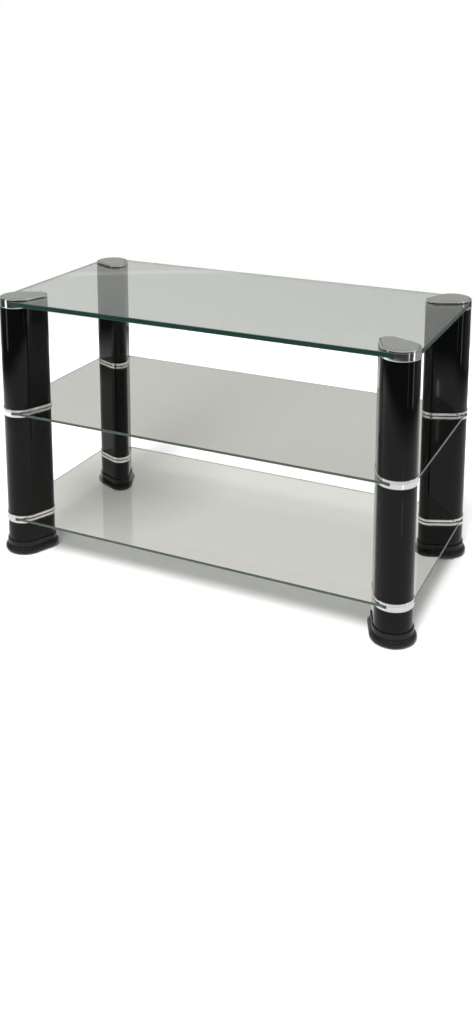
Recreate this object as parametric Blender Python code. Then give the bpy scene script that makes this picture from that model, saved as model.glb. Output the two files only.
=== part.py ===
"""An open television stand: three glass plates held at their corners by four stacked posts.

Metres, +Z up. The origin is on the floor under the middle of the stand, +X runs along its width and
its front faces -Y. A post is a stack of separate pieces on one threaded rod: foot, tube, slotted
collar, tube, slotted collar, tube, slotted collar and cap. Each collar takes the cut corner of a glass
plate in a rubber liner. The four posts are the same, turned so that their narrow side faces inwards.
"""

import math

import bmesh
import bpy

# Overall size, measured over the flared feet and the caps.
OVERALL_WIDTH = 0.800
OVERALL_DEPTH = 0.403
OVERALL_HEIGHT = 0.493

# Post section: a blunt round end and a tighter tip, joined by their tangents.
BLUNT_RADIUS = 0.0321
TIP_RADIUS = 0.0186
END_SPACING = 0.0359
TUBE_WALL = 0.002

# Glass plates.
TOP_THICKNESS = 0.009
SHELF_THICKNESS = 0.0045
GLASS_MARGIN = 0.0316  # from the centre of a post's blunt end to the plate's edge
TOP_SURFACE_Z = 0.489
SHELF_Z = {"middle": 0.277, "lower": 0.0695}  # mid-thickness of each shelf

# Collars, liners and caps.
COLLAR_HEIGHT = 0.0144
COLLAR_STANDOFF = 0.0012
TOP_COLLAR_STANDOFF = 0.0004
TOP_COLLAR_BASE_Z = 0.475
SPIGOT_HEIGHT = 0.008
RECESS_INSET = 0.0035
LINER_THICKNESS = 0.0005
CAP_SHOULDER = 0.003
CAP_BOSS_RADIUS = 0.0062
CAP_BOSS_DEPTH = 0.017

# Feet.
FOOT_HEIGHT = 0.0245
FOOT_FLARE = 0.0066
FOOT_STEP = 0.002
FOOT_STEP_BASE_Z = 0.0145
FOOT_LIP_RADIUS = 0.0045
PAD_THICKNESS = 0.0015
NUT_POCKET_RADIUS = 0.011
NUT_POCKET_TOP_Z = 0.011

# Fasteners.
ROD_RADIUS = 0.004
ROD_HOLE_RADIUS = 0.0045
ROD_BASE_Z = 0.0035
NUT_ACROSS_FLATS = 0.013
NUT_HEIGHT = 0.0065

GAP = 0.0003  # left between pieces that touch
GLASS_HOLE_RADIUS = 0.007
BOSS_HOLE_RADIUS = 0.0068

# Smoothness of the curved outlines.
BLUNT_STEPS = 12
TIP_STEPS = 6
ROUND_STEPS = 12
PROFILE_STEPS = 3
SHARP_ANGLE = math.radians(35)

POST_X = OVERALL_WIDTH / 2 - BLUNT_RADIUS - FOOT_FLARE
POST_Y = OVERALL_DEPTH / 2 - BLUNT_RADIUS - FOOT_FLARE
CORNERS = {
    "front_left": (-1, -1),
    "front_right": (1, -1),
    "back_left": (-1, 1),
    "back_right": (1, 1),
}
SPIGOT_OFFSET = -TUBE_WALL - GAP
# The plate's corner is cut from edge to edge, square to the post's long axis, just short of this line.
CORNER_CUT = GLASS_MARGIN / math.sqrt(2)


def post_outline(offset=0.0):
    """Points of the post's section, anticlockwise, grown by offset: blunt end at the origin, tip at +X."""
    spread = math.acos((BLUNT_RADIUS - TIP_RADIUS) / END_SPACING)
    blunt, tip = BLUNT_RADIUS + offset, TIP_RADIUS + offset
    points = []
    for step in range(BLUNT_STEPS + 1):
        angle = spread + (2 * math.pi - 2 * spread) * step / BLUNT_STEPS
        points.append((blunt * math.cos(angle), blunt * math.sin(angle)))
    for step in range(TIP_STEPS + 1):
        angle = -spread + 2 * spread * step / TIP_STEPS
        points.append((END_SPACING + tip * math.cos(angle), tip * math.sin(angle)))
    return points


def polygon(radius, sides):
    """Points of a regular polygon, anticlockwise."""
    turns = [2 * math.pi * side / sides for side in range(sides)]
    return [(radius * math.cos(turn), radius * math.sin(turn)) for turn in turns]


def clipped(points, x_min):
    """The part of a convex outline that has x above x_min."""
    kept = []
    for (x0, y0), (x1, y1) in zip(points, points[1:] + points[:1]):
        if x0 >= x_min:
            kept.append((x0, y0))
        if (x0 >= x_min) != (x1 >= x_min):
            share = (x_min - x0) / (x1 - x0)
            kept.append((x_min, y0 + share * (y1 - y0)))
    return kept


def loft(loops, closed=False):
    """A mesh through loops of equally many points. Closed joins the last loop to the first, as in a tube."""
    shape = bmesh.new()
    rows = [[shape.verts.new(point) for point in loop] for loop in loops]
    bands = list(zip(rows, rows[1:]))
    if closed:
        bands.append((rows[-1], rows[0]))
    else:
        shape.faces.new(rows[0][::-1])
        shape.faces.new(rows[-1])
    for low, high in bands:
        for here in range(len(low)):
            after = (here + 1) % len(low)
            shape.faces.new((low[here], low[after], high[after], high[here]))
    bmesh.ops.recalc_face_normals(shape, faces=shape.faces)
    mesh = bpy.data.meshes.new("loft")
    shape.to_mesh(mesh)
    shape.free()
    return mesh


def prism(points, low, high):
    """An outline extruded from height low to height high."""
    return loft([[(x, y, z) for x, y in points] for z in (low, high)])


def post_loft(profile, closed=False):
    """A loft of the post's outline through (offset, height) pairs."""
    return loft([[(x, y, z) for x, y in post_outline(offset)] for offset, z in profile], closed)


def combined(mesh, operation, tools):
    """The mesh with every tool cut from it (DIFFERENCE) or joined to it (UNION)."""
    collection = bpy.context.scene.collection
    target = bpy.data.objects.new("target", mesh)
    collection.objects.link(target)
    helpers = [target]
    for tool in tools:
        helper = bpy.data.objects.new("cutter", tool)
        collection.objects.link(helper)
        helper.hide_render = True
        helper.display_type = "WIRE"
        helpers.append(helper)
        modifier = target.modifiers.new("combine", "BOOLEAN")
        modifier.operation = operation
        modifier.solver = "EXACT"
        modifier.object = helper
    evaluated = target.evaluated_get(bpy.context.evaluated_depsgraph_get())
    result = bpy.data.meshes.new_from_object(evaluated)
    for helper in helpers:
        bpy.data.objects.remove(helper)
    return result


def rod_hole(radius, low, high):
    """A cutter for a round hole on the rod's axis."""
    return prism(polygon(radius, ROUND_STEPS), low, high)


def glass_slot(low, high):
    """A cutter that lets the plate in from the tip's side, as far as its cut corner."""
    reach = 3 * BLUNT_RADIUS
    near = -CORNER_CUT - GAP
    return prism([(near, -reach), (reach, -reach), (reach, reach), (near, reach)], low, high)


def liner_outline(clearance):
    """The outline of a liner, or of its recess when clearance is above zero."""
    inset = RECESS_INSET + GAP - clearance
    return clipped(post_outline(-inset), -CORNER_CUT - GAP - LINER_THICKNESS - clearance)


def tube(length):
    profile = [(0, 0), (0, length), (-TUBE_WALL, length), (-TUBE_WALL, 0)]
    return post_loft(profile, closed=True)


def shelf_collar():
    """A collar centred on its shelf, with a spigot into the tube above and below."""
    half = COLLAR_HEIGHT / 2
    reach = half + SPIGOT_HEIGHT
    profile = [
        (SPIGOT_OFFSET, -reach),
        (SPIGOT_OFFSET, -half),
        (COLLAR_STANDOFF, -half),
        (COLLAR_STANDOFF, half),
        (SPIGOT_OFFSET, half),
        (SPIGOT_OFFSET, reach),
    ]
    slot = SHELF_THICKNESS / 2 + GAP
    recess = slot + LINER_THICKNESS + GAP
    cutters = [
        glass_slot(-slot, slot),
        prism(liner_outline(GAP), -recess, recess),
        rod_hole(ROD_HOLE_RADIUS, -2 * reach, 2 * reach),
    ]
    return combined(post_loft(profile), "DIFFERENCE", cutters)


def top_collar():
    """The collar under the cap, from its base at height 0: a lip below the plate and a wall at the corner."""
    height = TOP_SURFACE_Z - TOP_COLLAR_BASE_Z
    profile = [
        (SPIGOT_OFFSET, -SPIGOT_HEIGHT),
        (SPIGOT_OFFSET, 0),
        (TOP_COLLAR_STANDOFF, 0),
        (TOP_COLLAR_STANDOFF, height),
    ]
    slot = height - TOP_THICKNESS - GAP
    recess = slot - LINER_THICKNESS - GAP
    cutters = [
        glass_slot(slot, 2 * height),
        prism(liner_outline(GAP), recess, 2 * height),
        rod_hole(BOSS_HOLE_RADIUS, -2 * height, 2 * height),
    ]
    return combined(post_loft(profile), "DIFFERENCE", cutters)


def liner(thickness, hole_radius):
    """A rubber pocket round a plate's corner, centred on the plate's mid-thickness."""
    inner = thickness / 2 + GAP
    outer = inner + LINER_THICKNESS
    cutters = [
        glass_slot(-inner, inner),
        rod_hole(hole_radius, -2 * outer, 2 * outer),
    ]
    return combined(prism(liner_outline(0), -outer, outer), "DIFFERENCE", cutters)


def cap_plate():
    """The cap from its rim at height 0: rounded shoulder, recess for the liner and threaded boss."""
    height = OVERALL_HEIGHT - TOP_SURFACE_Z - GAP
    recess = LINER_THICKNESS + GAP
    profile = [(-RECESS_INSET, recess), (-RECESS_INSET, 0), (0, 0)]
    for step in range(PROFILE_STEPS + 1):
        turn = math.pi / 2 * step / PROFILE_STEPS
        offset = -CAP_SHOULDER * (1 - math.cos(turn))
        profile.append((offset, height - CAP_SHOULDER + CAP_SHOULDER * math.sin(turn)))
    boss = prism(polygon(CAP_BOSS_RADIUS, ROUND_STEPS), -CAP_BOSS_DEPTH, (recess + height) / 2)
    cap = combined(post_loft(profile), "UNION", [boss])
    return combined(cap, "DIFFERENCE", [rod_hole(ROD_HOLE_RADIUS, -2 * CAP_BOSS_DEPTH, recess)])


def foot():
    """The foot from the floor up: rounded lip, flare, step ring and the spigot into the lower tube."""
    base = PAD_THICKNESS + GAP
    lip_top = base + FOOT_LIP_RADIUS
    profile = []
    for step in range(PROFILE_STEPS):
        turn = math.pi / 2 * step / PROFILE_STEPS
        offset = FOOT_FLARE - FOOT_LIP_RADIUS * (1 - math.sin(turn))
        profile.append((offset, lip_top - FOOT_LIP_RADIUS * math.cos(turn)))
    for step in range(PROFILE_STEPS + 1):
        share = step / PROFILE_STEPS
        sweep = (1 + math.cos(math.pi * share)) / 2
        height = lip_top + (FOOT_STEP_BASE_Z - lip_top) * share
        profile.append((FOOT_STEP + (FOOT_FLARE - FOOT_STEP) * sweep, height))
    profile += [
        (FOOT_STEP, FOOT_HEIGHT),
        (SPIGOT_OFFSET, FOOT_HEIGHT),
        (SPIGOT_OFFSET, FOOT_HEIGHT + SPIGOT_HEIGHT),
    ]
    cutters = [
        rod_hole(NUT_POCKET_RADIUS, -FOOT_HEIGHT, NUT_POCKET_TOP_Z),
        rod_hole(ROD_HOLE_RADIUS, 0, 2 * (FOOT_HEIGHT + SPIGOT_HEIGHT)),
    ]
    return combined(post_loft(profile), "DIFFERENCE", cutters)


def foot_pad():
    offset = FOOT_FLARE - FOOT_LIP_RADIUS - GAP
    return post_loft([(offset, 0), (offset, PAD_THICKNESS)])


def tie_rod():
    top = TOP_SURFACE_Z + GAP
    return prism(polygon(ROD_RADIUS, ROUND_STEPS), 0, top - ROD_BASE_Z)


def rod_nut():
    corner_radius = NUT_ACROSS_FLATS / math.sqrt(3)
    body = prism(polygon(corner_radius, 6), 0, NUT_HEIGHT)
    hole = rod_hole(ROD_HOLE_RADIUS, -NUT_HEIGHT, 2 * NUT_HEIGHT)
    return combined(body, "DIFFERENCE", [hole])


def glass_plate(thickness):
    """A plate centred on its mid-thickness: corners cut off, and one rod hole at each corner."""
    half_x = POST_X + GLASS_MARGIN
    half_y = POST_Y + GLASS_MARGIN
    points = []
    for sx, sy in ((1, 1), (-1, 1), (-1, -1), (1, -1)):
        ends = [(sx * half_x, sy * POST_Y), (sx * POST_X, sy * half_y)]
        points += ends if sx * sy > 0 else ends[::-1]
    holes = []
    for sx, sy in CORNERS.values():
        ring = [(sx * POST_X + x, sy * POST_Y + y) for x, y in polygon(GLASS_HOLE_RADIUS, ROUND_STEPS)]
        holes.append(prism(ring, -thickness, thickness))
    return combined(prism(points, -thickness / 2, thickness / 2), "DIFFERENCE", holes)


def finish(name, colour, roughness, metallic=0.0, transmission=0.0):
    """A Principled material."""
    material = bpy.data.materials.new(name)
    material.use_nodes = True
    shader = material.node_tree.nodes["Principled BSDF"]
    shader.inputs["Base Color"].default_value = (*colour, 1.0)
    shader.inputs["Roughness"].default_value = roughness
    shader.inputs["Metallic"].default_value = metallic
    shader.inputs["Transmission Weight"].default_value = transmission
    return material


def place(name, mesh, height, parent=None):
    """One named object for one physical piece."""
    piece = bpy.data.objects.new(name, mesh)
    bpy.context.scene.collection.objects.link(piece)
    piece.parent = parent
    piece.location.z = height
    return piece


def post_frame(corner):
    """An empty at the centre of a post's blunt end, with +X towards the post's tip."""
    sx, sy = CORNERS[corner]
    empty = bpy.data.objects.new(corner + "_post", None)
    bpy.context.scene.collection.objects.link(empty)
    empty.location = (sx * POST_X, sy * POST_Y, 0)
    empty.rotation_euler.z = math.atan2(-sy, -sx)
    return empty


def post_pieces():
    """Each piece of one post: name, mesh, material and the height it stands at."""
    black = finish("gloss_black", (0.012, 0.012, 0.013), 0.12)
    chrome = finish("chrome", (0.82, 0.83, 0.84), 0.12, metallic=1.0)
    satin = finish("satin_silver", (0.42, 0.42, 0.41), 0.38, metallic=0.6)
    plastic = finish("foot_black", (0.018, 0.018, 0.019), 0.42)
    rubber = finish("rubber", (0.03, 0.03, 0.03), 0.8)
    zinc = finish("zinc_steel", (0.62, 0.63, 0.64), 0.35, metallic=1.0)

    half_collar = COLLAR_HEIGHT / 2 + GAP
    low_z, middle_z = SHELF_Z["lower"], SHELF_Z["middle"]
    lower_base = FOOT_HEIGHT + GAP
    middle_base = low_z + half_collar
    upper_base = middle_z + half_collar
    collar = shelf_collar()
    shelf_liner = liner(SHELF_THICKNESS, ROD_HOLE_RADIUS + GAP)
    return [
        ("foot_pad", foot_pad(), rubber, 0),
        ("foot", foot(), plastic, 0),
        ("lower_tube", tube(low_z - half_collar - lower_base), black, lower_base),
        ("lower_collar", collar, chrome, low_z),
        ("lower_liner", shelf_liner, rubber, low_z),
        ("middle_tube", tube(middle_z - half_collar - middle_base), black, middle_base),
        ("middle_collar", collar, chrome, middle_z),
        ("middle_liner", shelf_liner, rubber, middle_z),
        ("upper_tube", tube(TOP_COLLAR_BASE_Z - GAP - upper_base), black, upper_base),
        ("top_collar", top_collar(), chrome, TOP_COLLAR_BASE_Z),
        ("top_liner", liner(TOP_THICKNESS, BOSS_HOLE_RADIUS), rubber, TOP_SURFACE_Z - TOP_THICKNESS / 2),
        ("cap_plate", cap_plate(), satin, TOP_SURFACE_Z + GAP),
        ("tie_rod", tie_rod(), zinc, ROD_BASE_Z),
        ("rod_nut", rod_nut(), zinc, NUT_POCKET_TOP_Z - GAP - NUT_HEIGHT),
    ]


def dress(mesh, material):
    """Gives a mesh its material, and smooth shading that stops at its edges."""
    mesh.materials.clear()
    mesh.materials.append(material)
    mesh.shade_smooth()
    mesh.set_sharp_from_angle(angle=SHARP_ANGLE)


def main():
    for leftover in list(bpy.data.objects):
        bpy.data.objects.remove(leftover)

    glass = finish("clear_glass", (0.75, 0.86, 0.81), 0.03, transmission=1.0)
    shelf = glass_plate(SHELF_THICKNESS)
    top = glass_plate(TOP_THICKNESS)
    for mesh in (shelf, top):
        dress(mesh, glass)
    place("top_glass", top, TOP_SURFACE_Z - TOP_THICKNESS / 2)
    place("middle_glass", shelf, SHELF_Z["middle"])
    place("lower_glass", shelf, SHELF_Z["lower"])

    pieces = post_pieces()
    for _, mesh, material, _ in pieces:
        dress(mesh, material)
    for corner in CORNERS:
        post = post_frame(corner)
        for name, mesh, _, height in pieces:
            place(f"{corner}_{name}", mesh, height, post)


main()
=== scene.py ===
"""The looks of the open glass television stand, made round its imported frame. Metres, +Z up."""

import math

import bmesh
import bpy
from mathutils import Matrix, Vector


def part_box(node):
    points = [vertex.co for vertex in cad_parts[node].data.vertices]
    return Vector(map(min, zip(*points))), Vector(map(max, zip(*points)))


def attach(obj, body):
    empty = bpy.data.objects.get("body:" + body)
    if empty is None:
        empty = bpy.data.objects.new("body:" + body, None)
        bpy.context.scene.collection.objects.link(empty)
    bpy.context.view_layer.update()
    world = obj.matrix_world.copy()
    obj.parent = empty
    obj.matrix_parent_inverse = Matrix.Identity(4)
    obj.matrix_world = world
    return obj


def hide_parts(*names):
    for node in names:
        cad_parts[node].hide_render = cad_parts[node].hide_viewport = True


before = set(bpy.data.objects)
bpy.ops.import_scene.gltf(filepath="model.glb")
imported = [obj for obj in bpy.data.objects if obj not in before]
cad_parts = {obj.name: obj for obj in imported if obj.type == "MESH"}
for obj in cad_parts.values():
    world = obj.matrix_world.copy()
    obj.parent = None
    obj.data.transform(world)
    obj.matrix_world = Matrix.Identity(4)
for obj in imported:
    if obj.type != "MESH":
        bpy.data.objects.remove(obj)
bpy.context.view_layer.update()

# Post section: a blunt round end and a tighter tip, joined by their tangents.
BLUNT_RADIUS = 0.0321
TIP_RADIUS = 0.0186
END_SPACING = 0.0359

# How the pieces of a post fit together.
GAP = 0.0003  # between neighbouring pieces
TUBE_WALL = 0.002
SPIGOT_INSET = 0.0023  # from the post's section in to the side of a spigot
SPIGOT_LENGTH = 0.006
CAD_SPIGOT_LENGTH = 0.008
ROD_HOLE_RADIUS = 0.0045
BOSS_HOLE_RADIUS = 0.0068
SLOT_END = -0.02264  # closed end of a glass slot, from the centre of the blunt end
OVERSHOOT = 0.02  # how far a hole's cutter passes the piece it cuts
CORNER_CUT = 0.0316  # taken off each side of a glass plate at its corners

# Smoothness of the fine surfaces.
BLUNT_STEPS = 72
TIP_STEPS = 36
ARC_STEPS = 7
ROUND_STEPS = 48
SHARP_ANGLE = 40

CORNERS = {
    "front_left": (-1, -1),
    "front_right": (1, -1),
    "back_left": (-1, 1),
    "back_right": (1, 1),
}

# Pieces carried over from the model unchanged, and the look each one gets.
CARRIED_OVER = {
    "foot_pad": "rubber",
    "lower_liner": "rubber",
    "middle_liner": "rubber",
    "top_liner": "rubber",
    "tie_rod": "zinc_steel",
    "rod_nut": "zinc_steel",
}

# Camera: the photograph's viewing angle.
CAMERA_PLACE = (0.8122, -1.7040, 0.9783)
CAMERA_YAW = 25.38
CAMERA_PITCH = 10.629
CAMERA_LENS = 37.65
CAMERA_SHIFT = -0.28
CAMERA_SENSOR = 36

# Studio. Heights above the horizon are sines, as in a direction's Z.
FLOOR_RADIUS = 1.5
SEAM_HEIGHT = 0.2266  # of the pale seam across the backdrop
BAND_PLACE = -0.08  # X + Z of the directions along the soft dark band across the backdrop


# ---------------------------------------------------------------- shapes

def post_outline(offset):
    """Points of the post's section grown by offset: blunt end at the origin, tip at +X."""
    spread = math.acos((BLUNT_RADIUS - TIP_RADIUS) / END_SPACING)
    blunt, tip = BLUNT_RADIUS + offset, TIP_RADIUS + offset
    points = []
    for step in range(BLUNT_STEPS + 1):
        angle = spread + (2 * math.pi - 2 * spread) * step / BLUNT_STEPS
        points.append((blunt * math.cos(angle), blunt * math.sin(angle)))
    for step in range(TIP_STEPS + 1):
        angle = -spread + 2 * spread * step / TIP_STEPS
        points.append((END_SPACING + tip * math.cos(angle), tip * math.sin(angle)))
    return points


def rounded(corners, closed):
    """A path of (across, up) points from (across, up, radius) corners, each turned into an arc."""
    path = []
    for index, (across, up, radius) in enumerate(corners):
        here = Vector((across, up))
        at_end = not closed and index in (0, len(corners) - 1)
        if radius == 0 or at_end:
            path.append(here)
            continue
        before = (Vector(corners[index - 1][:2]) - here).normalized()
        after = (Vector(corners[(index + 1) % len(corners)][:2]) - here).normalized()
        half = before.angle(after) / 2
        centre = here + (before + after).normalized() * radius / math.sin(half)
        start = here + before * radius / math.tan(half) - centre
        end = here + after * radius / math.tan(half) - centre
        for step in range(ARC_STEPS + 1):
            path.append(centre + start.lerp(end, step / ARC_STEPS).normalized() * radius)
    return [tuple(point) for point in path]


def loft(name, loops, closed=False):
    """A mesh through loops of equally many points. Closed joins the last loop to the first."""
    shape = bmesh.new()
    rows = [[shape.verts.new(point) for point in loop] for loop in loops]
    bands = list(zip(rows, rows[1:]))
    if closed:
        bands.append((rows[-1], rows[0]))
    else:
        shape.faces.new(rows[0][::-1])
        shape.faces.new(rows[-1])
    for low, high in bands:
        for here in range(len(low)):
            after = (here + 1) % len(low)
            shape.faces.new((low[here], low[after], high[after], high[here]))
    bmesh.ops.recalc_face_normals(shape, faces=shape.faces)
    mesh = bpy.data.meshes.new(name)
    shape.to_mesh(mesh)
    shape.free()
    return mesh


def post_loft(name, path, closed=False):
    """A loft of the post's outline through (offset, height) pairs."""
    return loft(name, [[(x, y, z) for x, y in post_outline(offset)] for offset, z in path], closed)


def rod_hole(radius, low, high):
    """A round cutter on the rod's axis, for a piece that spans low to high."""
    turns = [2 * math.pi * step / ROUND_STEPS for step in range(ROUND_STEPS)]
    circle = [(radius * math.cos(turn), radius * math.sin(turn)) for turn in turns]
    return loft("rod hole", [[(x, y, z) for x, y in circle] for z in (low - OVERSHOOT, high + OVERSHOOT)])


def slot_cutter(low, high, end_radius):
    """Lets a plate in from the tip's side. Its closed end has rounded edges."""
    reach = 3 * BLUNT_RADIUS
    corners = [
        (reach, low, 0),
        (reach, high, 0),
        (SLOT_END, high, end_radius),
        (SLOT_END, low, end_radius),
    ]
    section = rounded(corners, closed=True)
    return loft("slot", [[(x, side, z) for x, z in section] for side in (-reach, reach)])


def carved(mesh, cutters):
    """The mesh with every cutter cut from it."""
    collection = bpy.context.scene.collection
    target = bpy.data.objects.new("target", mesh)
    collection.objects.link(target)
    helpers = [target]
    for cutter in cutters:
        helper = bpy.data.objects.new("cutter", cutter)
        collection.objects.link(helper)
        helpers.append(helper)
        modifier = target.modifiers.new("cut", "BOOLEAN")
        modifier.operation = "DIFFERENCE"
        modifier.solver = "EXACT"
        modifier.object = helper
    evaluated = target.evaluated_get(bpy.context.evaluated_depsgraph_get())
    result = bpy.data.meshes.new_from_object(evaluated)
    for helper in helpers:
        bpy.data.objects.remove(helper)
    return result


# ---------------------------------------------------------------- materials

class Nodes:
    """Short ways to build the node tree of a material or of the world."""

    def __init__(self, name, world=False):
        self.owner = bpy.data.worlds.new(name) if world else bpy.data.materials.new(name)
        self.owner.use_nodes = True
        self.tree = self.owner.node_tree
        self.tree.nodes.clear()
        self.output = self.add("ShaderNodeOutputWorld" if world else "ShaderNodeOutputMaterial")

    def add(self, kind, inputs=None, **settings):
        """A node with its settings, and its inputs linked or set to a value."""
        node = self.tree.nodes.new(kind)
        for key, value in settings.items():
            setattr(node, key, value)
        for key, value in (inputs or {}).items():
            self.put(node.inputs[key], value)
        return node

    def put(self, socket, value):
        """Links the socket to value where that is a node's output, or else sets it to value."""
        if isinstance(value, bpy.types.NodeSocket):
            self.tree.links.new(value, socket)
        else:
            socket.default_value = value

    def place(self):
        """Where the surface point is in its own object's coordinates."""
        return self.add("ShaderNodeTexCoord").outputs["Object"]

    def noise(self, scale, detail, roughness=0.5, stretch=None):
        """Noise that differs from one object to the next."""
        vector = self.place()
        if stretch:
            vector = self.add("ShaderNodeMapping", {"Vector": vector, "Scale": stretch}).outputs[0]
        chance = self.add("ShaderNodeObjectInfo").outputs["Random"]
        seed = self.maths("MULTIPLY", chance, 40.0)
        texture = self.add(
            "ShaderNodeTexNoise",
            {"Vector": vector, "W": seed, "Scale": scale, "Detail": detail, "Roughness": roughness},
            noise_dimensions="4D",
        )
        return texture.outputs["Fac"]

    def ramp(self, factor, low, high, start=0.0, end=1.0):
        """A number from low to high as factor goes from start to end."""
        node = self.add(
            "ShaderNodeMapRange",
            {"Value": factor, "From Min": start, "From Max": end, "To Min": low, "To Max": high},
            clamp=True,
        )
        return node.outputs[0]

    def blend(self, factor, first, second):
        """The first colour where factor is 0, the second where it is 1."""
        node = self.add("ShaderNodeMix", data_type="RGBA")
        self.put(node.inputs["Factor"], factor)
        self.put(node.inputs["A"], (*first, 1))
        self.put(node.inputs["B"], (*second, 1))
        return node.outputs["Result"]

    def maths(self, operation, first, second):
        return self.add("ShaderNodeMath", {0: first, 1: second}, operation=operation).outputs[0]

    def mix(self, factor, first, second):
        """Shader first where factor is 0, second where it is 1."""
        return self.add("ShaderNodeMixShader", {0: factor, 1: first, 2: second}).outputs[0]

    def mirrored(self):
        """1 for a ray that a glossy surface has reflected."""
        path = self.add("ShaderNodeLightPath")
        return self.maths("MULTIPLY", path.outputs["Is Glossy Ray"], path.outputs["Is Reflection Ray"])

    def glow(self, strength):
        """A white emission."""
        return self.add("ShaderNodeEmission", {"Strength": strength}).outputs[0]

    def backdrop(self, strength, tint=(1, 1, 1, 1)):
        return self.add("ShaderNodeBackground", {"Color": tint, "Strength": strength}).outputs[0]

    def bump(self, height, strength, distance):
        node = self.add("ShaderNodeBump", {"Height": height, "Strength": strength, "Distance": distance})
        return node.outputs[0]

    def principled(self, **inputs):
        """A Principled BSDF. Each keyword is an input's name with _ for its spaces."""
        names = {key.replace("_", " "): value for key, value in inputs.items()}
        return self.add("ShaderNodeBsdfPrincipled", names).outputs[0]

    def done(self, shader):
        """The finished material or world."""
        self.put(self.output.inputs["Surface"], shader)
        return self.owner


def gloss_black():
    """Black lacquer with faint waviness and dust-fine haze."""
    nodes = Nodes("gloss black")
    wave = nodes.noise(scale=38.0, detail=2.0, stretch=(1.0, 1.0, 0.35))
    haze = nodes.noise(scale=160.0, detail=6.0, roughness=0.6)
    return nodes.done(nodes.principled(
        Base_Color=nodes.blend(haze, (0.0010, 0.0011, 0.0013), (0.0030, 0.0032, 0.0033)),
        Roughness=nodes.ramp(haze, 0.04, 0.09, start=0.3, end=0.7),
        Specular_IOR_Level=0.21,
        Normal=nodes.bump(wave, strength=0.10, distance=0.0004),
    ))


def chrome():
    """Bright plating with a faint drawn grain along the ring."""
    nodes = Nodes("chrome")
    grain = nodes.noise(scale=90.0, detail=5.0, roughness=0.6, stretch=(0.4, 0.4, 14.0))
    cloud = nodes.noise(scale=30.0, detail=3.0)
    return nodes.done(nodes.principled(
        Base_Color=nodes.blend(cloud, (0.74, 0.74, 0.725), (0.86, 0.86, 0.845)),
        Metallic=1.0,
        Roughness=nodes.ramp(grain, 0.09, 0.19, start=0.3, end=0.7),
        Normal=nodes.bump(grain, strength=0.06, distance=0.0002),
    ))


def satin_silver():
    """The fine-grained silver paint on the caps."""
    nodes = Nodes("satin silver")
    grain = nodes.noise(scale=900.0, detail=3.0)
    cloud = nodes.noise(scale=45.0, detail=3.0)
    return nodes.done(nodes.principled(
        Base_Color=nodes.blend(cloud, (0.40, 0.405, 0.39), (0.47, 0.475, 0.455)),
        Metallic=0.75,
        Roughness=nodes.ramp(grain, 0.34, 0.46, start=0.3, end=0.7),
        Normal=nodes.bump(grain, strength=0.15, distance=0.0001),
    ))


def foot_black():
    """Moulded plastic with a fine grain."""
    nodes = Nodes("foot black")
    grain = nodes.noise(scale=700.0, detail=4.0)
    cloud = nodes.noise(scale=60.0, detail=3.0)
    return nodes.done(nodes.principled(
        Base_Color=nodes.blend(cloud, (0.0065, 0.0065, 0.0070), (0.011, 0.011, 0.0115)),
        Roughness=nodes.ramp(cloud, 0.26, 0.36, start=0.3, end=0.7),
        Specular_IOR_Level=0.25,
        Normal=nodes.bump(grain, strength=0.25, distance=0.00012),
    ))


# Dark rubber for the foot pads and liners, also laid on the cap's groove floor as painted shade.
def rubber():
    nodes = Nodes("rubber")
    grain = nodes.noise(scale=500.0, detail=4.0)
    return nodes.done(nodes.principled(
        Base_Color=nodes.blend(grain, (0.018, 0.018, 0.018), (0.034, 0.034, 0.033)),
        Roughness=nodes.ramp(grain, 0.7, 0.9),
        Normal=nodes.bump(grain, strength=0.4, distance=0.0002),
    ))


def zinc_steel():
    nodes = Nodes("zinc steel")
    cloud = nodes.noise(scale=120.0, detail=4.0)
    return nodes.done(nodes.principled(
        Base_Color=nodes.blend(cloud, (0.55, 0.56, 0.58), (0.70, 0.70, 0.69)),
        Metallic=1.0,
        Roughness=nodes.ramp(cloud, 0.25, 0.45),
    ))


def clear_glass(name, tint, shade):
    """Float glass. Tint colours what is seen through it, shade what each face lets through from the lamps."""
    nodes = Nodes(name)
    smear = nodes.noise(scale=7.0, detail=5.0, roughness=0.6)
    glass = nodes.principled(
        Base_Color=(*tint, 1),
        Roughness=0.0,
        IOR=1.5,
        Transmission_Weight=1.0,
        Normal=nodes.bump(smear, strength=0.02, distance=0.0004),
    )
    passing = nodes.add("ShaderNodeBsdfTransparent", {"Color": (*shade, 1)}).outputs[0]
    lamp = nodes.add("ShaderNodeLightPath").outputs["Is Shadow Ray"]
    return nodes.done(nodes.mix(lamp, glass, passing))


def plate_edge(name, dark, light, gloss):
    """A polished edge of a plate, finely streaked. Its colour is that of the glass behind it, made darker or
    paler for each side as painted light and shade.
    """
    nodes = Nodes(name)
    streak = nodes.noise(scale=30.0, detail=4.0, roughness=0.6, stretch=(1.0, 1.0, 8.0))
    return nodes.done(nodes.principled(
        Base_Color=nodes.blend(streak, dark, light),
        Roughness=nodes.ramp(streak, 0.11, 0.24),
        Specular_IOR_Level=gloss,
    ))


def glass_arris():
    """The fine ground band between a face and the edge."""
    nodes = Nodes("glass arris")
    grain = nodes.noise(scale=600.0, detail=3.0)
    return nodes.done(nodes.principled(
        Base_Color=nodes.blend(grain, (0.05, 0.073, 0.062), (0.095, 0.128, 0.112)),
        Roughness=0.4,
        Specular_IOR_Level=0.3,
    ))


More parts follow.
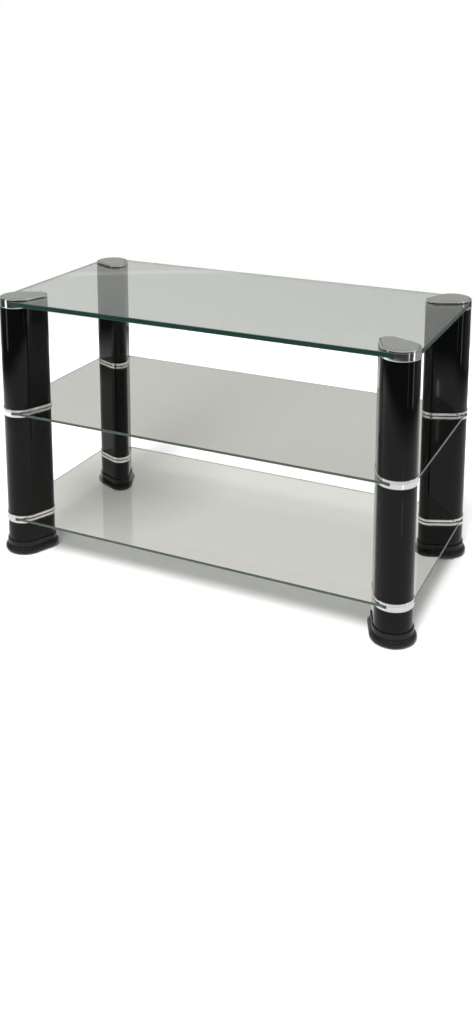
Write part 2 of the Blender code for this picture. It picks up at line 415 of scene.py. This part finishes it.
def build_looks():
    """Every material, by name. Glass is named after its plate."""
    return {
        "gloss_black": gloss_black(),
        "chrome": chrome(),
        "satin_silver": satin_silver(),
        "foot_black": foot_black(),
        "rubber": rubber(),
        "zinc_steel": zinc_steel(),
        "top_glass": clear_glass("top glass", (0.60, 0.615, 0.585), (0.90, 0.91, 0.90)),
        "middle_glass": clear_glass("middle glass", (0.574, 0.569, 0.532), (0.90, 0.91, 0.90)),
        # The lower shelf is the same glass as the middle one; its tint is made lighter to make up for the
        # shaded floor seen through it: painted light.
        "lower_glass": clear_glass("lower glass", (0.82, 0.82, 0.765), (0.36, 0.37, 0.36)),
        # Edge colours differ by side to stand for how light falls: dark front, darker right sides, pale far
        # edges. Painted light and shade.
        "top_edge": plate_edge("top edge", (0.008, 0.026, 0.020), (0.016, 0.046, 0.036), gloss=0.2),
        "shelf_front": plate_edge("shelf front", (0.044, 0.064, 0.050), (0.070, 0.092, 0.075), gloss=0.2),
        "shelf_side": plate_edge("shelf side", (0.026, 0.037, 0.030), (0.046, 0.059, 0.049), gloss=0.14),
        "far_edge": plate_edge("far edge", (0.46, 0.54, 0.48), (0.62, 0.70, 0.64), gloss=0.3),
        "glass_arris": glass_arris(),
    }


# ---------------------------------------------------------------- pieces

def show(name, mesh, materials, stands_for, at=(0, 0, 0), turn=0.0, curved=True):
    """One visible piece, which stands for a CAD node. Curved ones are shaded smooth."""
    mesh = mesh.copy()
    mesh.transform(Matrix.Rotation(turn, 4, "Z"))
    piece = bpy.data.objects.new(name, mesh)
    bpy.context.scene.collection.objects.link(piece)
    for material in materials:
        mesh.materials.append(material)
    if curved:
        mesh.shade_smooth()
        mesh.set_sharp_from_angle(angle=math.radians(SHARP_ANGLE))
    piece.location = at
    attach(piece, "root")
    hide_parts(stands_for)


def span(node):
    """Lowest and highest point of a CAD node."""
    low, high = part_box(node)
    return low.z, high.z


def middle(node):
    """The middle of a CAD node's box."""
    low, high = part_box(node)
    return (low + high) / 2


def tube_mesh(low, high):
    """A hollow tube with rounded ends."""
    edge = 0.0004
    corners = [
        (0, low, edge),
        (0, high, edge),
        (-TUBE_WALL, high, edge),
        (-TUBE_WALL, low, edge),
    ]
    return post_loft("tube", rounded(corners, closed=True), closed=True)


def shelf_collar_mesh(low, high, glass_low, glass_high):
    """A collar with spigots, a fine parting line and a rounded slot for the shelf."""
    standoff, edge, slot_round = 0.0012, 0.0009, 0.0016
    line_width, line_depth = 0.0005, 0.0003
    line = glass_high + GAP
    corners = [
        (-SPIGOT_INSET, low - SPIGOT_LENGTH, 0),
        (-SPIGOT_INSET, low, 0),
        (standoff, low, edge),
        (standoff, line, 0),
        (standoff - line_depth, line + line_width / 2, 0),
        (standoff, line + line_width, 0),
        (standoff, high, edge),
        (-SPIGOT_INSET, high, 0),
        (-SPIGOT_INSET, high + SPIGOT_LENGTH, 0),
    ]
    body = post_loft("collar", rounded(corners, closed=False))
    slot = slot_cutter(glass_low - GAP, glass_high + GAP, slot_round)
    return carved(body, [slot, rod_hole(ROD_HOLE_RADIUS, low, high)])


def top_collar_mesh(low, high, glass_low):
    """The chrome wall under the cap, with a rounded lower lip and the slot for the top glass."""
    standoff, lip, edge, slot_round = 0.0004, 0.0018, 0.0005, 0.0012
    wall, past_top = 0.003, 0.01
    corners = [
        (-SPIGOT_INSET, low - SPIGOT_LENGTH, 0),
        (-SPIGOT_INSET, low, 0),
        (standoff, low, lip),
        (standoff, high, edge),
        (-wall, high, 0),
    ]
    body = post_loft("top collar", rounded(corners, closed=False))
    slot = slot_cutter(glass_low - GAP, high + past_top, slot_round)
    return carved(body, [slot, rod_hole(BOSS_HOLE_RADIUS, low, high)])


def cap_mesh(low, high):
    """A rounded chrome rim and, past a groove, the raised satin plate. Slots: rim, plate, groove, whose floor
    takes the dark rubber look as painted shade.
    """
    hollow_inset, hollow_rise = 0.0045, 0.0006
    chamfer_width, chamfer_rise = 0.0004, 0.0003
    rim_width, rim_round = 0.0028, 0.0025
    groove_width, groove_depth, draft = 0.0006, 0.0006, 0.0001
    plate_rise, plate_edge_width = 0.0005, 0.0003
    ledge = high - plate_rise
    groove_floor = ledge - groove_depth
    plate_edge_low = high - plate_edge_width
    plate_inset = rim_width + groove_width
    corners = [
        (-hollow_inset, low + hollow_rise, 0),
        (-chamfer_width, low, 0),
        (0, low + chamfer_rise, 0),
        (0, ledge, rim_round),
        (-rim_width, ledge, 0),
        (-rim_width - draft, groove_floor, 0),
        (-plate_inset, groove_floor, 0),
        (-plate_inset - draft, plate_edge_low, 0),
        (-plate_inset - plate_edge_width, high, 0),
    ]
    mesh = post_loft("cap", rounded(corners, closed=False))
    for polygon in mesh.polygons:
        faces_up = polygon.normal.z > 0.99
        if polygon.center.z > plate_edge_low:
            polygon.material_index = 1
        # The groove's floor gets the dark rubber look: painted shade in the groove.
        elif faces_up and polygon.center.z < groove_floor + groove_depth / 2:
            polygon.material_index = 2
    return mesh


def foot_mesh(low, high, shoulder):
    """The foot: a full round lip, a groove, a step ring up to the shoulder and a spigot."""
    sole, flare, lip_height, lip_round = 0.0021, 0.0066, 0.0080, 0.0042
    neck_standoff, neck_drop, neck_round = 0.0009, 0.0004, 0.0015
    groove, groove_depth = 0.0145, 0.0008
    ring, ring_rise, ring_low_round, ring_high_round = 0.0021, 0.0005, 0.0002, 0.0009
    corners = [
        (sole, low, 0),
        (flare, low, lip_round),
        (flare, low + lip_height, lip_round),
        (ring + neck_standoff, groove - neck_drop, neck_round),
        (ring - groove_depth, groove, 0),
        (ring, groove + ring_rise, ring_low_round),
        (ring, shoulder, ring_high_round),
        (-SPIGOT_INSET, shoulder, 0),
        (-SPIGOT_INSET, high, 0),
    ]
    return post_loft("foot", rounded(corners, closed=False))


def plate_mesh(name, node, arris):
    """A glass plate with cut corners and ground arrises. Slots: face, front, right side, far edges, arris."""
    low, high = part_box(node)
    outline = [
        (high.x, high.y - CORNER_CUT), (high.x - CORNER_CUT, high.y),
        (low.x + CORNER_CUT, high.y), (low.x, high.y - CORNER_CUT),
        (low.x, low.y + CORNER_CUT), (low.x + CORNER_CUT, low.y),
        (high.x - CORNER_CUT, low.y), (high.x, low.y + CORNER_CUT),
    ]
    centre = middle(node)
    loops = []
    for inset, z in ((arris, low.z), (0, low.z + arris), (0, high.z - arris), (arris, high.z)):
        loop = []
        for x, y in outline:
            towards_x, towards_y = math.copysign(inset, x - centre.x), math.copysign(inset, y - centre.y)
            loop.append((x - towards_x, y - towards_y, z))
        loops.append(loop)
    mesh = loft(name, loops)
    for polygon in mesh.polygons:
        polygon.material_index = plate_slot(polygon.normal)
    return mesh


def plate_slot(normal):
    """Which of a plate's material slots a polygon with this normal belongs to."""
    level, slanted, sideways = 0.99, 0.1, 0.4
    if abs(normal.z) > level:
        return 0
    if normal.y > sideways or normal.x < -sideways:
        return 3
    if abs(normal.z) > slanted:
        return 4
    return 2 if normal.x > sideways else 1


def post_meshes():
    """One fine mesh for each part of a post that shows, sized from the front right post."""
    sample = "front_right_"
    meshes = {"foot": foot_mesh(*span(sample + "foot"), span(sample + "lower_tube")[0] - GAP)}
    for part in ("lower_tube", "middle_tube", "upper_tube"):
        meshes[part] = tube_mesh(*span(sample + part))
    for part, glass in (("lower_collar", "lower_glass"), ("middle_collar", "middle_glass")):
        low, high = span(sample + part)
        meshes[part] = shelf_collar_mesh(low + CAD_SPIGOT_LENGTH, high - CAD_SPIGOT_LENGTH, *span(glass))
    low, high = span(sample + "top_collar")
    meshes["top_collar"] = top_collar_mesh(low + CAD_SPIGOT_LENGTH, high, span("top_glass")[0])
    meshes["cap"] = cap_mesh(span("top_glass")[1] + GAP, span(sample + "cap_plate")[1])
    return meshes


def post_looks(part):
    """A part's materials, by name, and the name of its slot."""
    if part == "cap":
        # The third look darkens the cap's groove floor: painted shade, not a rubber part.
        return ["chrome", "satin_silver", "rubber"], "satin_silver"
    look = {"foot": "foot_black", "tube": "gloss_black", "collar": "chrome"}[part.split("_")[-1]]
    return [look], look


def build_posts(looks):
    """The four posts, each a turned copy of the same parts with its tip towards the stand's middle."""
    meshes = post_meshes()
    for corner, (side_x, side_y) in CORNERS.items():
        rod = middle(corner + "_tie_rod")
        turn = math.atan2(-side_y, -side_x)
        for part, mesh in meshes.items():
            names, slot = post_looks(part)
            node = f"{corner}_cap_plate" if part == "cap" else f"{corner}_{part}"
            materials = [looks[name] for name in names]
            show(f"{corner}_{part}_fine", mesh, materials, node, (rod.x, rod.y, 0), turn)
        for part, look in CARRIED_OVER.items():
            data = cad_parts[f"{corner}_{part}"].data
            data.materials.clear()
            data.materials.append(looks[look])


def build_glass(looks):
    """The top plate and the two shelves, with the width of each arris and its edges' looks."""
    plates = {
        "top_glass": (0.0008, "top_edge", "top_edge"),
        "middle_glass": (0.0004, "shelf_front", "shelf_side"),
        "lower_glass": (0.0004, "shelf_front", "shelf_side"),
    }
    for node, (arris, front, side) in plates.items():
        name = node + "_fine"
        materials = [looks[look] for look in (node, front, side, "far_edge", "glass_arris")]
        show(name, plate_mesh(name, node, arris), materials, node, curved=False)


# ---------------------------------------------------------------- studio

def floor_paper():
    """White paper. Mirrored rays see it glow, fading out towards a dark room and stronger on the left.
    Rays through the glass see it mostly as an even glow, with soft shade round the back left foot."""
    nodes = Nodes("floor")
    place = nodes.place()
    away = nodes.add("ShaderNodeVectorMath", {0: place}, operation="LENGTH").outputs["Value"]
    across = nodes.add("ShaderNodeSeparateXYZ", {0: place}).outputs["X"]
    foot = middle("back_left_foot")
    foot_place = (foot.x, foot.y, 0)
    from_foot = nodes.add("ShaderNodeVectorMath", {0: place, 1: foot_place}, operation="DISTANCE")
    fade = nodes.ramp(away, 0.86, 0.10, start=1.10, end=1.45)
    left_gain = nodes.ramp(across, 1.6, 1.0, start=-1.0, end=-0.45)
    shade = nodes.ramp(from_foot.outputs["Value"], 0.50, 0.86, start=0.06, end=0.25)
    paper = nodes.principled(Base_Color=(0.93, 0.93, 0.93, 1), Roughness=0.8, Specular_IOR_Level=0.1)
    through = nodes.add("ShaderNodeLightPath").outputs["Is Transmission Ray"]
    direct = nodes.mix(nodes.maths("MULTIPLY", through, 0.75), paper, nodes.glow(shade))
    reflected = nodes.glow(nodes.maths("MULTIPLY", fade, left_gain))
    return nodes.done(nodes.mix(nodes.mirrored(), direct, reflected))


def build_floor():
    bpy.ops.mesh.primitive_circle_add(vertices=96, radius=FLOOR_RADIUS, fill_type="NGON", location=(0, 0, 0))
    floor = bpy.context.active_object
    floor.name = "studio_floor"
    floor.data.materials.append(floor_paper())


def room_brightness(nodes):
    """What mirrored rays see round the stand: a pale backdrop behind it and a dark room in front.
    Across the backdrop run a pale seam and a soft dark band."""
    direction = nodes.add("ShaderNodeTexCoord").outputs["Generated"]
    parts = nodes.add("ShaderNodeSeparateXYZ", {0: direction}).outputs
    leftwards = nodes.ramp(parts["X"], 0.46, 0.32, start=-0.55, end=-0.20)
    behind = nodes.ramp(parts["Y"], 0.04, leftwards, start=-0.1, end=0.35)
    below_top = nodes.ramp(parts["Z"], 1.0, 0.35, start=0.50, end=0.75)
    ceiling = nodes.ramp(parts["Z"], 0.0, 0.50, start=0.45, end=0.75)
    from_seam = nodes.maths("ABSOLUTE", nodes.maths("SUBTRACT", parts["Z"], SEAM_HEIGHT), 0)
    seam = nodes.ramp(from_seam, 0.22, 0.0, end=0.003)
    band_place = nodes.maths("SUBTRACT", nodes.maths("ADD", parts["X"], parts["Z"]), BAND_PLACE)
    band = nodes.ramp(nodes.maths("ABSOLUTE", band_place, 0), 1.0, 0.0, end=0.09)
    band_depth = nodes.ramp(parts["Z"], 0.0, 0.75, start=0.30, end=0.35)
    kept = nodes.maths("SUBTRACT", 1.0, nodes.maths("MULTIPLY", band, band_depth))
    backdrop = nodes.maths("MULTIPLY", nodes.maths("MULTIPLY", behind, below_top), kept)
    return nodes.maths("ADD", nodes.maths("ADD", backdrop, ceiling), seam)


def build_world():
    """White to the eye, dim to matt surfaces, and a room with a backdrop to mirrored rays."""
    nodes = Nodes("studio", world=True)
    matt = nodes.add("ShaderNodeLightPath").outputs["Is Diffuse Ray"]
    unmirrored = nodes.mix(matt, nodes.backdrop(1.0), nodes.backdrop(0.27))
    room = nodes.backdrop(room_brightness(nodes), tint=(0.97, 1, 0.95, 1))
    bpy.context.scene.world = nodes.done(nodes.mix(nodes.mirrored(), unmirrored, room))


def soft_sun(name, at, strength, spread):
    """A broad far lamp that lights the floor evenly and shows in no reflection."""
    data = bpy.data.lights.new(name, "SUN")
    data.energy = strength
    data.angle = math.radians(spread)
    light = bpy.data.objects.new(name, data)
    bpy.context.scene.collection.objects.link(light)
    light.location = at
    light.rotation_euler = Vector(at).to_track_quat("Z", "Y").to_euler()
    light.visible_camera = False
    light.visible_glossy = False
    light.visible_transmission = False


def card(name, at, aim, size, strength):
    """A white card that only reflections see."""
    bpy.ops.mesh.primitive_plane_add(size=1)
    plane = bpy.context.active_object
    plane.name = name
    plane.scale = (*size, 1)
    plane.location = at
    plane.rotation_euler = (Vector(aim) - Vector(at)).to_track_quat("Z", "Y").to_euler()
    nodes = Nodes(name)
    plane.data.materials.append(nodes.done(nodes.glow(strength)))
    plane.visible_camera = False
    plane.visible_diffuse = False
    plane.visible_transmission = False
    plane.visible_shadow = False


def build_lights():
    """Two soft lamps, and the cards that make the upright highlights on the posts."""
    right_side, left_side = (0.36, -0.1, 0.45), (-0.36, -0.1, 0.45)
    soft_sun("overhead", at=(0.0, 0.3, 2.6), strength=1.4, spread=60)
    soft_sun("front_key", at=(0.1, -1.7, 2.2), strength=3.6, spread=22)
    card("right_card", at=(1.55, -0.06, 0.45), aim=right_side, size=(0.16, 0.9), strength=2.2)
    card("streak_card", at=(0.68, -0.44, 0.055), aim=(0.348, 0.12, 0.055), size=(0.007, 0.10), strength=6)
    card("thin_card", at=(1.45, -0.72, 0.45), aim=right_side, size=(0.06, 0.9), strength=1.5)
    card("left_card", at=(-1.30, -1.20, 0.45), aim=left_side, size=(0.26, 0.9), strength=2.0)


def build_camera():
    data = bpy.data.cameras.new("camera")
    data.lens = CAMERA_LENS
    data.sensor_width = CAMERA_SENSOR
    data.shift_y = CAMERA_SHIFT
    camera = bpy.data.objects.new("camera", data)
    bpy.context.scene.collection.objects.link(camera)
    camera.location = CAMERA_PLACE
    camera.rotation_euler = (math.radians(90 - CAMERA_PITCH), 0, math.radians(CAMERA_YAW))
    bpy.context.scene.camera = camera


def main():
    bpy.context.scene.view_settings.view_transform = "Standard"
    looks = build_looks()
    build_posts(looks)
    build_glass(looks)
    build_floor()
    build_world()
    build_lights()
    build_camera()


main()
